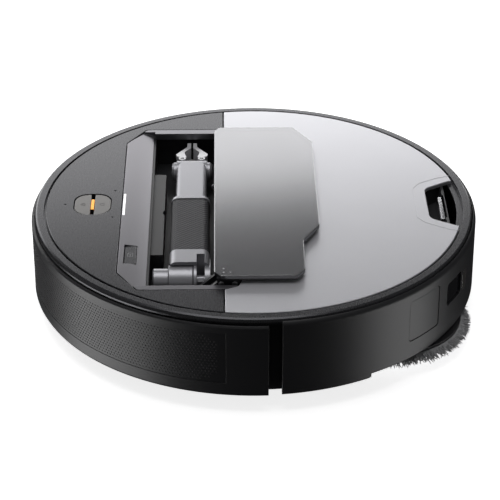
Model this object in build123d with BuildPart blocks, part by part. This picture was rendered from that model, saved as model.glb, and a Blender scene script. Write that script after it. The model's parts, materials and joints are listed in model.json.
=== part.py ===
from build123d import *
import os
from math import cos, radians, sin

os.makedirs("parts", exist_ok=True)

# Robot vacuum with a fold-out gripper arm, millimetres.
# +X is forwards (bumper side), +Y is the robot's left, +Z is up, the floor is z = 0.

# ---- driving dimensions -------------------------------------------------------------
BODY_R = 175.0          # outside of the bumper and of the rear shell
DECK_Z = 79.5           # top of the flush deck plates
PLATE_T = 3.0           # thickness of the deck plates
PLATE_R = 163.6         # edge of the deck plates
RING_IN_R = 165.3       # inside edge of the flat ring round the deck
RING_FLAT_R = 170.3     # where the ring's flat turns into its bevel
RING_OUT_R = 172.4      # outside of the ring
CHASSIS_R = 168.5       # outside of the chassis wall
CHASSIS_Z = 16.0        # underside of the chassis
FLOOR_T = 2.5           # thickness of the chassis floor
WALL_T = 3.0            # thickness of the chassis wall
WALL_TOP = 72.0         # top of the chassis wall, where the ring sits
SKIRT_Z = 14.5          # bottom edge of the bumper and the rear shell
BUMPER_TOP = 74.0
BUMPER_IN_R = 172.7
BUMPER_END_X = -8.3     # the bumper reaches back to here on both sides
SHELL_START_X = -18.0   # the rear shell starts here
SHELL_TOP = 77.2
SPLIT_X = 23.6          # joint line between the front panel and the rear cover
SEAM = 0.5              # half of the seam between two plates

# the arm bay in the deck
BAY_POINTS = [
    (104, 106), (88, 131), (24, 131), (13, 126), (10.5, 118), (10.5, 69.5),
    (-2.5, 46), (-2.5, -95), (17, -129), (88, -129), (104, -104),
]
BAY_CORNER = 4.0
TRAY_WALL = 2.3
TRAY_FLOOR_Z = 47.5
TRAY_BASE_Z = 45.0
TRAY_FRONT_X = 80.0     # inside face of the tray's front wall
LEDGE_X = 70.5          # the broad step in front of the arm
LEDGE_Z = 70.0
OPENING_X = 81.8        # the flap's opening inside the bezel
OPENING_FAR_Y = -121.5
OPENING_NEAR_Y = 125.0

# the flap and its parallel links
LINK_L = 30.0
LINK_CLOSED = 27.0      # degrees above forwards when shut
LINK_OPEN = 42.1        # degrees above rearwards when open
LINK_Z = 58.0           # fixed pivots
LINK_FRONT_X = 48.0
LINK_REAR_X = 38.0
LINK_T = 3.6
LINK_BOSS_R = 3.2
PIN_R = 1.5
RUN = 0.05              # radial clearance of a running fit
FLAP_T = 2.8
FLAP_OPEN_X = LINK_FRONT_X - LINK_L * cos(radians(LINK_OPEN))
FLAP_OPEN_Z = LINK_Z + LINK_L * sin(radians(LINK_OPEN))
FLAP_SHIFT = LINK_L * (cos(radians(LINK_OPEN)) + cos(radians(LINK_CLOSED)))
FLAP_RISE = LINK_L * (sin(radians(LINK_OPEN)) - sin(radians(LINK_CLOSED)))
FLAP_TOP = DECK_Z + FLAP_RISE
FLAP_SHUT = [
    (80, -114), (76, -120), (14.5, -120), (-1.0, -93.5), (-1.0, 46.5), (12, 69.5),
    (12.5, 114), (19, 122.5), (75, 122.5), (80, 116),
]

# the arm
ARM_X = 50.0            # centre line of the arm
ARM_Z = 65.3            # height of the forearm's centre line
SLEEVE_W = 31.0
SLEEVE_H = 21.4
SLEEVE_FAR_Y = -18.8
SLEEVE_NEAR_Y = 66.0
COLLAR_NEAR_Y = 85.0
SHOULDER_Y = 86.0
SHOULDER_Z = 60.0
DRUM_R = 12.0
DRUM_X = (46.9, 66.0)
STUB_END_X = 77.6
STUB_R = 9.4
SLOT_X = (38.2, 44.4)   # gap between the yoke's two cheeks
YOKE_X = (34.0, 46.6)
AXLE_R = 4.0
WRIST_W = 24.6
WRIST_H = 19.6
WRIST_FAR_Y = -79.2
KNUCKLE_Z = 65.0
EAR_R = 8.0
EAR_X = (33.2, 66.0)
PALM_Y = -91.0
JAW_H = 13.0
JAW_TIP_Y = -119.4
JAW_PIN_X = 8.0         # jaw pins each side of the arm's centre line
JAW_PIN_Y = -92.5
JAW_PIN_R = 1.6
BAR_FRONT_Y = -94.6     # front face of the palm's crossbar
GRIP_X = ARM_X - 0.2    # axis of the wrist and the gripper
GRIP_SHAFT_R = 6.0

# running gear
WHEEL_X = -30.0
WHEEL_Y = 122.0
WHEEL_R = 30.0
WHEEL_W = 19.0
HOUSING_R = 32.5        # room for the wheel in its housing
HOUSING_WALL = 2.0
HOUSING_HALF = 13.0     # half of the housing's width inside
ARM_PIVOT_X = 15.0
ARM_PIVOT_Z = 34.0
PIVOT_R = 3.0
ROLLER_Z = 18.0
ROLLER_R = 15.0
ROLLER_X = (16.0, 49.0)
ROLLER_HALF = 84.0
CHAMBER_X = (-1.5, 66.5)
CHAMBER_Y = 88.0
CASTER_X = 125.0
CASTER_R = 10.0
CASTER_TRAIL = 5.0
BRUSH_X = 98.0
BRUSH_Y = -108.0
BRUSH_L = 44.0
MOP_X = -101.0
MOP_Y = 64.5
MOP_R = 63.0
MOP_Z = 9.0
PAD_T = 6.0
MOP_ROOF = 21.0

SENSOR_ANGLES = (22, -22, 62, -68)
SENSOR_R = 153.0
BOARD_Z = 58.0          # underside of the main board

SIDES = (("left", 1), ("right", -1))


# ---- shapes used more than once ------------------------------------------------------
def bay_outline(grow=0.0):
    """Outline of the arm bay, grown or shrunk all round."""
    with BuildSketch(mode=Mode.PRIVATE) as outline:
        Polygon(*BAY_POINTS, align=None)
        fillet(outline.vertices(), BAY_CORNER)
        if grow:
            offset(amount=grow)
    return outline.sketch_local


def span(sign, a, b):
    """Limits along Y of a piece between a and b on the left (sign 1) or the right (sign -1)."""
    return min(sign * a, sign * b), max(sign * a, sign * b)


def ring_solid(inner, outer, z0, z1, mode=Mode.ADD):
    """A plain ring about the body's axis."""
    with BuildSketch(Plane.XY.offset(z0)) as profile:
        Circle(outer)
        Circle(inner, mode=Mode.SUBTRACT)
    extrude(profile.sketch, amount=z1 - z0, mode=mode)


def block(x, y, z, mode=Mode.ADD):
    """A box given by its limits along each axis."""
    with BuildSketch(Plane.XY.offset(z[0])) as profile:
        with Locations(((x[0] + x[1]) / 2, (y[0] + y[1]) / 2)):
            Rectangle(x[1] - x[0], y[1] - y[0])
    extrude(profile.sketch, amount=z[1] - z[0], mode=mode)


def rod_x(y, z, r, x, mode=Mode.ADD):
    """A round bar along X."""
    with BuildSketch(Plane.YZ.offset(x[0])) as profile:
        with Locations((y, z)):
            Circle(r)
    extrude(profile.sketch, amount=x[1] - x[0], mode=mode)


def rod_y(x, z, r, y, mode=Mode.ADD):
    """A round bar along Y."""
    with BuildSketch(Plane.XZ.offset(-y[0])) as profile:
        with Locations((x, z)):
            Circle(r)
    extrude(profile.sketch, amount=-(y[1] - y[0]), mode=mode)


def rod_z(x, y, r, z, mode=Mode.ADD):
    """A round bar along Z."""
    with BuildSketch(Plane.XY.offset(z[0])) as profile:
        with Locations((x, y)):
            Circle(r)
    extrude(profile.sketch, amount=z[1] - z[0], mode=mode)


def side_tile(a0, a1, z0, z1, gap, r_in, r_out, mode=Mode.ADD):
    """A tile of the side wall between two angles and two heights, less a gap all round."""
    mid = radians((a0 + a1) / 2)
    plane = Plane(origin=(0, 0, 0), x_dir=(-sin(mid), cos(mid), 0), z_dir=(cos(mid), sin(mid), 0))
    width = 2 * BODY_R * abs(sin(radians((a1 - a0) / 2))) - 2 * gap
    corner = min(3 - gap, width / 3)
    with BuildPart(mode=Mode.PRIVATE) as tile:
        ring_solid(r_in, r_out, z0, z1)
        with BuildSketch(plane.offset(150)) as outline:
            with Locations((0, (z0 + z1) / 2)):
                RectangleRounded(width, z1 - z0 - 2 * gap, corner)
        extrude(outline.sketch, amount=40, mode=Mode.INTERSECT)
    add(tile.part, mode=mode)


# ---- chassis ---------------------------------------------------------------------
FLOOR_TOP = CHASSIS_Z + FLOOR_T
with BuildPart() as chassis_base:
    with BuildSketch(Plane.XY.offset(CHASSIS_Z)):
        Circle(CHASSIS_R)
    extrude(amount=FLOOR_T)
    ring_solid(CHASSIS_R - WALL_T, CHASSIS_R, CHASSIS_Z, WALL_TOP)
    # raised roofs over the two mops
    for side in (1, -1):
        rod_z(MOP_X, side * MOP_Y, MOP_R + 5, (CHASSIS_Z, MOP_ROOF + FLOOR_T))
    with BuildSketch(Plane.XY.offset(CHASSIS_Z)):
        Circle(CHASSIS_R + 20)
        Circle(CHASSIS_R, mode=Mode.SUBTRACT)
    extrude(amount=WALL_TOP, mode=Mode.SUBTRACT)
    # brush chamber between the drive wheels, with its two roof ribs under the tray
    block((CHAMBER_X[0] - 2.5, CHAMBER_X[1] + 2.5), (-CHAMBER_Y - 2.5, CHAMBER_Y + 2.5), (FLOOR_TOP, 41))
    for x in (6.0, 56.0):
        block((x, x + 3), (-80, 80), (41, TRAY_BASE_Z))
    block(CHAMBER_X, (-CHAMBER_Y, CHAMBER_Y), (CHASSIS_Z - 1, 38.5), Mode.SUBTRACT)
    # wheel housings, each with its opening downwards
    for side in (1, -1):
        for radius, wall, bottom, mode in (
            (HOUSING_R + HOUSING_WALL, HOUSING_WALL, FLOOR_TOP, Mode.ADD),
            (HOUSING_R, 0.0, CHASSIS_Z - 1, Mode.SUBTRACT),
        ):
            y0, y1 = span(side, WHEEL_Y - HOUSING_HALF - wall, WHEEL_Y + HOUSING_HALF + wall)
            with BuildSketch(Plane.XZ.offset(-y0)) as arch:
                with BuildLine():
                    Line((WHEEL_X + radius, WHEEL_R), (WHEEL_X + radius, bottom))
                    Line((WHEEL_X + radius, bottom), (WHEEL_X - radius, bottom))
                    Line((WHEEL_X - radius, bottom), (WHEEL_X - radius, WHEEL_R))
                    ThreePointArc(
                        (WHEEL_X - radius, WHEEL_R), (WHEEL_X, WHEEL_R + radius), (WHEEL_X + radius, WHEEL_R)
                    )
                make_face()
            extrude(arch.sketch, amount=-(y1 - y0), mode=mode)
        # slot in the floor for the suspension arm, and its opening through the housing
        slot_y = span(side, 92, 110)
        block((WHEEL_X - 22, ARM_PIVOT_X + 9), slot_y, (CHASSIS_Z - 1, FLOOR_TOP + 0.5), Mode.SUBTRACT)
        opening_x = (WHEEL_X - 19, WHEEL_X + 19)
        block(opening_x, slot_y, (FLOOR_TOP, WHEEL_R + 17), Mode.SUBTRACT)
        block(opening_x, span(side, 106, 112), (CHASSIS_Z - 1, WHEEL_R + 17), Mode.SUBTRACT)
        # lugs for the suspension pivot
        for y in (93.0, 107.6):
            lug = span(side, y, y + 2.4)
            block((ARM_PIVOT_X - 5, ARM_PIVOT_X + 5), lug, (FLOOR_TOP, ARM_PIVOT_Z + 5))
            block((ARM_PIVOT_X - 5, ARM_PIVOT_X + 14), lug, (CHASSIS_Z, FLOOR_TOP))
        rod_y(ARM_PIVOT_X, ARM_PIVOT_Z, PIVOT_R, span(side, 93, 110))
    # mop recesses and the holes for their motors
    for side in (1, -1):
        rod_z(MOP_X, side * MOP_Y, MOP_R + 2.5, (CHASSIS_Z - 1, MOP_ROOF), Mode.SUBTRACT)
        rod_z(MOP_X, side * MOP_Y, 19.3, (CHASSIS_Z, MOP_ROOF + 9), Mode.SUBTRACT)
    # caster cup
    rod_z(CASTER_X, 0, 20.5, (FLOOR_TOP, 31))
    rod_z(CASTER_X, 0, 18, (CHASSIS_Z - 1, 28.5), Mode.SUBTRACT)
    rod_z(CASTER_X, 0, 5, (28.5, 42))
    rod_z(CASTER_X, 0, 3 + RUN, (28, 40), Mode.SUBTRACT)
    # side brush shaft hole
    rod_z(BRUSH_X, BRUSH_Y, 4.5, (CHASSIS_Z - 1, FLOOR_TOP + 1), Mode.SUBTRACT)
    # cliff sensor seats
    for angle in SENSOR_ANGLES:
        with BuildSketch(Plane.XY.offset(CHASSIS_Z - 1)):
            with PolarLocations(SENSOR_R, 1, angle):
                Rectangle(9, 22)
        extrude(amount=2.5, mode=Mode.SUBTRACT)
    # recess for the underside cover
    block((70.5, 103.5), (-60.5, 60.5), (CHASSIS_Z - 1, CHASSIS_Z + 1.5), Mode.SUBTRACT)
    # columns that carry the tray
    for x, y in ((92, 96), (88, -84), (-10, 20), (-10, -60)):
        rod_z(x, y, 4, (FLOOR_TOP, TRAY_BASE_Z))
    # posts that carry the main board
    for x, y in ((112, 60), (112, -60), (146, 40), (146, -40)):
        rod_z(x, y, 3, (FLOOR_TOP, BOARD_Z))
chassis_base.part.label = "chassis_base"
export_step(chassis_base.part, "parts/chassis_base.step")

# ---- ring round the deck --------------------------------------------------------------
with BuildPart() as upper_ring:
    with BuildSketch(Plane.XZ):
        Polygon(
            (160, 73.8), (160, DECK_Z - PLATE_T), (RING_IN_R, DECK_Z - PLATE_T),
            (RING_IN_R, DECK_Z - 0.2), (RING_FLAT_R, DECK_Z - 0.2), (171.6, DECK_Z - 1.1),
            (RING_OUT_R, 76.4), (RING_OUT_R, 74.8), (CHASSIS_R, 74.8), (CHASSIS_R, WALL_TOP),
            (163.0, WALL_TOP), align=None,
        )
    revolve(axis=Axis.Z)
upper_ring.part.label = "upper_ring"
export_step(upper_ring.part, "parts/upper_ring.step")

# ---- rear side shell ------------------------------------------------------------------
HATCH = (130.5, 142.0, 33.0, 68.0)       # angles and heights of the square side hatch
WINDOW = (145.8, 154.0, 43.0, 62.0)      # recessed docking window
CONTACT_ANGLES = ((155.2, 158.2), (-155.2, -158.2))
CONTACT_Z = (41.0, 58.0)                 # charging contact strips
CONTACT_R = 174.3
with BuildPart() as rear_side_shell:
    with BuildSketch(Plane.XZ):
        with BuildLine():
            Polyline((172.7, 20), (CHASSIS_R, 18), (CHASSIS_R, SKIRT_Z), (173.6, SKIRT_Z))
            Line((173.6, SKIRT_Z), (BODY_R, 16.2))
            Line((BODY_R, 16.2), (BODY_R, 73.2))
            RadiusArc((BODY_R, 73.2), (172.7, SHELL_TOP), -4.6)
            Line((172.7, SHELL_TOP), (172.7, 20))
        make_face()
    revolve(axis=Axis.Z)
    block((SHELL_START_X, 200), (-200, 200), (0, 90), Mode.SUBTRACT)
    # raised bottom edge over the mops
    with BuildSketch(Plane.XY):
        for side in (1, -1):
            with Locations((MOP_X, side * MOP_Y)):
                Circle(MOP_R + 27)
        with Locations((-150, 0)):
            Rectangle(60, 150)
        Circle(CHASSIS_R - 2, mode=Mode.SUBTRACT)
    extrude(amount=19, mode=Mode.SUBTRACT)
    # chamfered front edges
    for side in (1, -1):
        with BuildSketch(Plane.XY):
            with BuildLine():
                Polyline(
                    (SHELL_START_X + 1, side * 172.9), (SHELL_START_X + 1, side * 178),
                    (SHELL_START_X - 2.2, side * 178), (SHELL_START_X, side * 172.9), close=True,
                )
            make_face()
        extrude(amount=90, mode=Mode.SUBTRACT)
    side_tile(*HATCH, 0.0, 160, 190, Mode.SUBTRACT)
    side_tile(*WINDOW, 0.0, 160, 190, Mode.SUBTRACT)
    for angles in CONTACT_ANGLES:
        side_tile(*angles, *CONTACT_Z, 0.0, CONTACT_R, 190, Mode.SUBTRACT)
rear_side_shell.part.label = "rear_side_shell"
export_step(rear_side_shell.part, "parts/rear_side_shell.step")

# ---- deck plates ------------------------------------------------------------------------
PILL = (112.0, 142.0, 34.0)              # button pill: rear edge, front edge, width
NOTCH_X = -137.0                         # inner end of the finger notch
with BuildPart() as front_top_panel:
    with BuildSketch(Plane.XY.offset(DECK_Z - PLATE_T)):
        Circle(PLATE_R)
        with Locations((SPLIT_X + SEAM - 200, 0)):
            Rectangle(400, 400, mode=Mode.SUBTRACT)
    extrude(amount=PLATE_T)
    with BuildSketch(Plane.XY.offset(DECK_Z - PLATE_T)):
        add(bay_outline())
    extrude(amount=PLATE_T, mode=Mode.SUBTRACT)
    with BuildSketch(Plane.XY.offset(DECK_Z - PLATE_T)):
        with Locations(((PILL[0] + PILL[1]) / 2, 0)):
            RectangleRounded(PILL[1] - PILL[0], PILL[2], 12)
        with Locations((148.5, 0), (110, -22), (110.5, 21)):
            Circle(0.9)
    extrude(amount=PLATE_T, mode=Mode.SUBTRACT)
    chamfer(front_top_panel.faces().sort_by(Axis.Z)[-1].outer_wire().edges(), 0.5)
front_top_panel.part.label = "front_top_panel"
export_step(front_top_panel.part, "parts/front_top_panel.step")

with BuildPart() as rear_cover:
    with BuildSketch(Plane.XY.offset(DECK_Z - PLATE_T)):
        Circle(PLATE_R)
        with Locations((SPLIT_X - SEAM + 200, 0)):
            Rectangle(400, 400, mode=Mode.SUBTRACT)
    extrude(amount=PLATE_T)
    with BuildSketch(Plane.XY.offset(DECK_Z - PLATE_T)):
        add(bay_outline())
    extrude(amount=PLATE_T, mode=Mode.SUBTRACT)
    with BuildSketch(Plane.XY.offset(DECK_Z - PLATE_T)) as notch:
        with BuildLine():
            Polyline(
                (-190, -44), (-157, -34), (NOTCH_X, -22), (NOTCH_X, 26), (-157, 38), (-190, 48), close=True
            )
        make_face()
        fillet(notch.vertices().group_by(Axis.X)[-1], 9)
    extrude(amount=PLATE_T, mode=Mode.SUBTRACT)
    chamfer(rear_cover.faces().sort_by(Axis.Z)[-1].outer_wire().edges(), 0.5)
rear_cover.part.label = "rear_cover"
export_step(rear_cover.part, "parts/rear_cover.step")

# dished finger bowl under the notch, with a bright release catch at its back
with BuildPart() as finger_bowl:
    with BuildSketch(Plane.XY.offset(62)):
        with BuildLine():
            Polyline(
                (-152.5, -38), (-136, -27), (-133, -24), (-133, 28), (-136, 31), (-152.5, 40), close=True
            )
        make_face()
    extrude(amount=DECK_Z - PLATE_T - 62)
    with BuildSketch(Plane.XY.offset(DECK_Z - PLATE_T)):
        with BuildLine():
            Polyline(
                (-150.5, -33), (-138, -23), (-136, -20), (-136, 24), (-138, 27), (-150.5, 35), close=True
            )
        make_face()
    extrude(amount=-12.5, taper=12, mode=Mode.SUBTRACT)
    block((-151.6, -146.0), (-16, 20), (64, 80), Mode.SUBTRACT)
finger_bowl.part.label = "finger_bowl"
export_step(finger_bowl.part, "parts/finger_bowl.step")

with BuildPart() as release_catch:
    block((-149.8, -146.2), (-15.5, 19.5), (64, 75))
    chamfer(release_catch.edges().filter_by(Axis.Y).group_by(Axis.Z)[-1].sort_by(Axis.X)[-1], 1.2)
release_catch.part.label = "release_catch"
export_step(release_catch.part, "parts/release_catch.step")

# ---- arm tray and bezel ---------------------------------------------------------------
with BuildPart() as arm_tray:
    with BuildSketch(Plane.XY.offset(TRAY_BASE_Z)):
        add(bay_outline(TRAY_WALL))
    extrude(amount=DECK_Z - PLATE_T - TRAY_BASE_Z)
    with BuildSketch(Plane.XY.offset(TRAY_FLOOR_Z)):
        add(bay_outline(-1.5))
        with Locations((TRAY_FRONT_X + 100, 0)):
            Rectangle(200, 400, mode=Mode.SUBTRACT)
    extrude(amount=60, mode=Mode.SUBTRACT)
    # shelf under the bezel
    with BuildSketch(Plane.XY.offset(74.0)):
        add(bay_outline())
    extrude(amount=10, mode=Mode.SUBTRACT)
    block((TRAY_FRONT_X + 2.5, 101), (-100, 100), (TRAY_BASE_Z - 1, 68), Mode.SUBTRACT)
    # broad ledge in front of the arm, with a finger relief
    block((LEDGE_X, TRAY_FRONT_X), (-66, 64), (TRAY_FLOOR_Z, LEDGE_Z))
    rod_z(LEDGE_X - 4.6, -2, 6, (TRAY_FLOOR_Z, LEDGE_Z), Mode.SUBTRACT)
    # pad that carries the flap's hinge bracket
    block((28, 56), (98.4, 122), (TRAY_FLOOR_Z, TRAY_FLOOR_Z + 1.5))
    # saddle that carries the shoulder
    block((48, 77), (79, 93), (TRAY_FLOOR_Z, SHOULDER_Z))
    rod_x(SHOULDER_Y, SHOULDER_Z, DRUM_R, (47, 66), Mode.SUBTRACT)
    rod_x(SHOULDER_Y, SHOULDER_Z, STUB_R, (66, 80), Mode.SUBTRACT)
    # keeper rail behind the arm
    block((29.0, 30.6), (-44, 78), (TRAY_FLOOR_Z, 71))
arm_tray.part.label = "arm_tray"
export_step(arm_tray.part, "parts/arm_tray.step")

BEZEL_LOW = 4.0                          # fall of the bezel's surface towards the tray
BUTTON_X = (89.5, 99.5)
BUTTON_Y = (64.0, 92.0)
LIGHT_X = (101.2, 103.0)
LIGHT_Y = (-17.8, 17.8)
with BuildPart() as tray_bezel:
    with BuildSketch(Plane.XY.offset(74.0)):
        add(bay_outline(-0.6))
        with Locations((OPENING_X - 100, (OPENING_FAR_Y + OPENING_NEAR_Y) / 2)):
            Rectangle(200, OPENING_NEAR_Y - OPENING_FAR_Y, mode=Mode.SUBTRACT)
        with Locations((-86, 0)):
            Rectangle(200, 300, mode=Mode.SUBTRACT)
    extrude(amount=DECK_Z - 74.0)
    # convex fall towards the tray
    with BuildSketch(Plane.XZ):
        with BuildLine():
            ThreePointArc((105, DECK_Z), (92, DECK_Z - 1.0), (OPENING_X - 1, DECK_Z - BEZEL_LOW))
            Polyline((OPENING_X - 1, DECK_Z - BEZEL_LOW), (OPENING_X - 1, 90), (105, 90), (105, DECK_Z))
        make_face()
    extrude(amount=OPENING_NEAR_Y, both=True, mode=Mode.SUBTRACT)
    block(BUTTON_X, BUTTON_Y, (70, 90), Mode.SUBTRACT)
    block(LIGHT_X, LIGHT_Y, (75.5, 90), Mode.SUBTRACT)
tray_bezel.part.label = "tray_bezel"
export_step(tray_bezel.part, "parts/tray_bezel.step")

with BuildPart() as status_light:
    block(LIGHT_X, LIGHT_Y, (75.5, 78.9))
status_light.part.label = "status_light"
export_step(status_light.part, "parts/status_light.step")

with BuildPart() as bezel_button:
    gap = 0.5
    block((BUTTON_X[0] + gap, BUTTON_X[1] - gap), (BUTTON_Y[0] + gap, BUTTON_Y[1] - gap), (75.2, 78.4))
    fillet(bezel_button.edges().filter_by(Axis.Z), 1.5)
    chamfer(bezel_button.faces().sort_by(Axis.Z)[-1].edges(), 0.4)
bezel_button.part.label = "bezel_button"
export_step(bezel_button.part, "parts/bezel_button.step")

# ---- button pill --------------------------------------------------------------------
with BuildPart() as button_frame:
    with BuildSketch(Plane.XY.offset(70)):
        with Locations(((PILL[0] + PILL[1]) / 2, 0)):
            RectangleRounded(PILL[1] - PILL[0] + 8, PILL[2] + 8, 14)
    extrude(amount=DECK_Z - PLATE_T - 70)
    with BuildSketch(Plane.XY.offset(72)):
        with Locations(((PILL[0] + PILL[1]) / 2, 0)):
            RectangleRounded(PILL[1] - PILL[0], PILL[2], 12)
    extrude(amount=10, mode=Mode.SUBTRACT)
    block((126.3, 127.7), (-8, 8), (72, DECK_Z - 0.4))
button_frame.part.label = "button_frame"
export_step(button_frame.part, "parts/button_frame.step")

for name, x0, x1 in (("home_button", PILL[0] + 0.7, 125.5), ("power_button", 128.5, PILL[1] - 0.7)):
    with BuildPart() as cap:
        with BuildSketch(Plane.XY.offset(73.2)):
            with Locations(((PILL[0] + PILL[1]) / 2, 0)):
                RectangleRounded(PILL[1] - PILL[0] - 1.4, PILL[2] - 1.4, 11.3)
            with Locations(((x0 + x1) / 2, 0)):
                Rectangle(x1 - x0, PILL[2], mode=Mode.INTERSECT)
        extrude(amount=DECK_Z - 0.3 - 73.2)
        fillet(cap.faces().sort_by(Axis.Z)[-1].edges(), 0.6)
    cap.part.label = name
    export_step(cap.part, f"parts/{name}.step")

# ---- side details --------------------------------------------------------------------
with BuildPart() as side_hatch_panel:
    side_tile(*HATCH, 0.5, CHASSIS_R, 174.6)
side_hatch_panel.part.label = "side_hatch_panel"
export_step(side_hatch_panel.part, "parts/side_hatch_panel.step")

with BuildPart() as dock_window:
    side_tile(*WINDOW, 0.0, CHASSIS_R, 173.4)
dock_window.part.label = "dock_window"
export_step(dock_window.part, "parts/dock_window.step")

with BuildPart() as charging_contacts:
    for angles in CONTACT_ANGLES:
        side_tile(*angles, *CONTACT_Z, 0.0, CONTACT_R, BODY_R)
charging_contacts.part.label = "charging_contacts"
export_step(charging_contacts.part, "parts/charging_contacts.step")

# ---- insides of the body ---------------------------------------------------------------
with BuildPart() as battery_pack:
    block((-76, -18), (-34, 34), (MOP_ROOF + FLOOR_T, 46))
    fillet(battery_pack.edges().filter_by(Axis.Z), 3)
battery_pack.part.label = "battery_pack"
export_step(battery_pack.part, "parts/battery_pack.step")

SCREWS = ((75, 55), (75, -55), (99, 55), (99, -55))
SCREW_R = 1.3
SCREW_HEAD_R = 2.7
with BuildPart() as underside_cover:
    block((70.8, 103.2), (-60.2, 60.2), (CHASSIS_Z - 0.6, CHASSIS_Z + 1.5))
    chamfer(underside_cover.faces().sort_by(Axis.Z)[0].edges(), 0.5)
    with Locations(*[Location((x, y, CHASSIS_Z - 0.6), (180, 0, 0)) for x, y in SCREWS]):
        CounterBoreHole(SCREW_R, SCREW_HEAD_R + 0.5, 1.2)
underside_cover.part.label = "underside_cover"
export_step(underside_cover.part, "parts/underside_cover.step")

with BuildPart() as cover_screws:
    for x, y in SCREWS:
        rod_z(x, y, SCREW_HEAD_R, (CHASSIS_Z - 0.6, CHASSIS_Z + 0.6))
        rod_z(x, y, SCREW_R, (CHASSIS_Z + 0.6, CHASSIS_Z + 1.5))
        # cross recess
        for dx, dy in ((1.6, 0.3), (0.3, 1.6)):
            block((x - dx, x + dx), (y - dy, y + dy), (CHASSIS_Z - 1, CHASSIS_Z), Mode.SUBTRACT)
cover_screws.part.label = "cover_screws"
export_step(cover_screws.part, "parts/cover_screws.step")

BOARD_T = 1.6
CHIPS = ((124, -30, 7, 7, 1.6), (134, 20, 5, 8, 2.2), (116, 44, 3, 10, 5), (140, -6, 4, 4, 1.4))
with BuildPart() as main_board:
    block((108, 152), (-64, 64), (BOARD_Z, BOARD_Z + BOARD_T))
    for x, y, half_x, half_y, height in CHIPS:
        top = BOARD_Z + BOARD_T
        block((x - half_x, x + half_x), (y - half_y, y + half_y), (top, top + height))
main_board.part.label = "main_board"
export_step(main_board.part, "parts/main_board.step")

FAN_X = -45.0
FAN_Y = 62.0
with BuildPart() as suction_fan:
    rod_z(FAN_X, FAN_Y, 24, (50, 72))
    rod_z(FAN_X, FAN_Y, 13, (46, 50))
    block((FAN_X - 15, FAN_X + 15), (20, 50), (54, 68))
    rod_z(FAN_X, FAN_Y, 9, (60, 80), Mode.SUBTRACT)
    rod_z(FAN_X, FAN_Y, 4, (60, 70))
suction_fan.part.label = "suction_fan"
export_step(suction_fan.part, "parts/suction_fan.step")

with BuildPart() as dust_bin:
    block((-78, -14), (-96, 16), (46.5, 74))
    fillet(dust_bin.edges().filter_by(Axis.Z), 6)
    offset(amount=-1.8, openings=dust_bin.faces().sort_by(Axis.Z)[-1])
    block((-62, -26), (12, 20), (54, 66), Mode.SUBTRACT)
dust_bin.part.label = "dust_bin"
export_step(dust_bin.part, "parts/dust_bin.step")

with BuildPart() as dust_filter:
    block((-61.5, -26.5), (16.0, 19.8), (54.5, 67.5))
    for x in range(-58, -28, 5):
        block((x, x + 2), (18.2, 21), (56, 66), Mode.SUBTRACT)
dust_filter.part.label = "dust_filter"
export_step(dust_filter.part, "parts/dust_filter.step")

with BuildPart() as water_tank:
    block((-128, -84), (-95, 95), (62, 74))
    fillet(water_tank.edges().filter_by(Axis.Z), 8)
    block((-126.4, -85.6), (-93.4, 93.4), (63.6, 72.4), Mode.SUBTRACT)
water_tank.part.label = "water_tank"
export_step(water_tank.part, "parts/water_tank.step")

with BuildPart() as cliff_sensors:
    for angle in SENSOR_ANGLES:
        with BuildSketch(Plane.XY.offset(CHASSIS_Z - 0.4)):
            with PolarLocations(SENSOR_R, 1, angle):
                Rectangle(9, 22)
        extrude(amount=1.9)
cliff_sensors.part.label = "cliff_sensors"
export_step(cliff_sensors.part, "parts/cliff_sensors.step")

with BuildPart() as side_brush_motor:
    rod_z(BRUSH_X, BRUSH_Y, 15, (FLOOR_TOP + 1, 40))
    rod_z(BRUSH_X, BRUSH_Y, 19, (FLOOR_TOP, FLOOR_TOP + 1))
    rod_z(BRUSH_X, BRUSH_Y, 3 + RUN, (CHASSIS_Z - 1, 34), Mode.SUBTRACT)
side_brush_motor.part.label = "side_brush_motor"
export_step(side_brush_motor.part, "parts/side_brush_motor.step")

with BuildPart() as roller_gearbox:
    block((CHAMBER_X[1] + 2.5, CHAMBER_X[1] + 8), (60, 104), (FLOOR_TOP, 42))
    block((26, CHAMBER_X[1] + 8), (CHAMBER_Y + 2.5, 104), (FLOOR_TOP, 42))
roller_gearbox.part.label = "roller_gearbox"
export_step(roller_gearbox.part, "parts/roller_gearbox.step")

# ---- bumper ------------------------------------------------------------------------------
WINDOW_A = 82.5                          # half angle of the sensor window round the front
WINDOW_Z = (25.0, 68.0)
with BuildPart() as bumper:
    with BuildSketch(Plane.XZ):
        with BuildLine():
            Polyline(
                (BUMPER_IN_R, SKIRT_Z), (174.2, SKIRT_Z), (BODY_R, 16.0), (BODY_R, 72.6),
                (174.0, BUMPER_TOP), (BUMPER_IN_R, BUMPER_TOP), close=True,
            )
        make_face()
    revolve(axis=Axis.Z)
    block((-200, BUMPER_END_X), (-200, 200), (0, 90), Mode.SUBTRACT)
    with BuildPart(mode=Mode.PRIVATE) as recess:
        ring_solid(BODY_R - 0.9, BODY_R + 5, *WINDOW_Z)
        block((-200, BODY_R * cos(radians(WINDOW_A))), (-200, 200), (0, 90), Mode.SUBTRACT)
    add(recess.part, mode=Mode.SUBTRACT)
bumper.part.label = "bumper"
export_step(bumper.part, "parts/bumper.step")

with BuildPart() as bumper_window:
    ring_solid(BODY_R - 0.9, BODY_R - 0.3, *WINDOW_Z)
    block((-200, BODY_R * cos(radians(WINDOW_A))), (-200, 200), (0, 90), Mode.SUBTRACT)
bumper_window.part.label = "bumper_window"
export_step(bumper_window.part, "parts/bumper_window.step")

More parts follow.
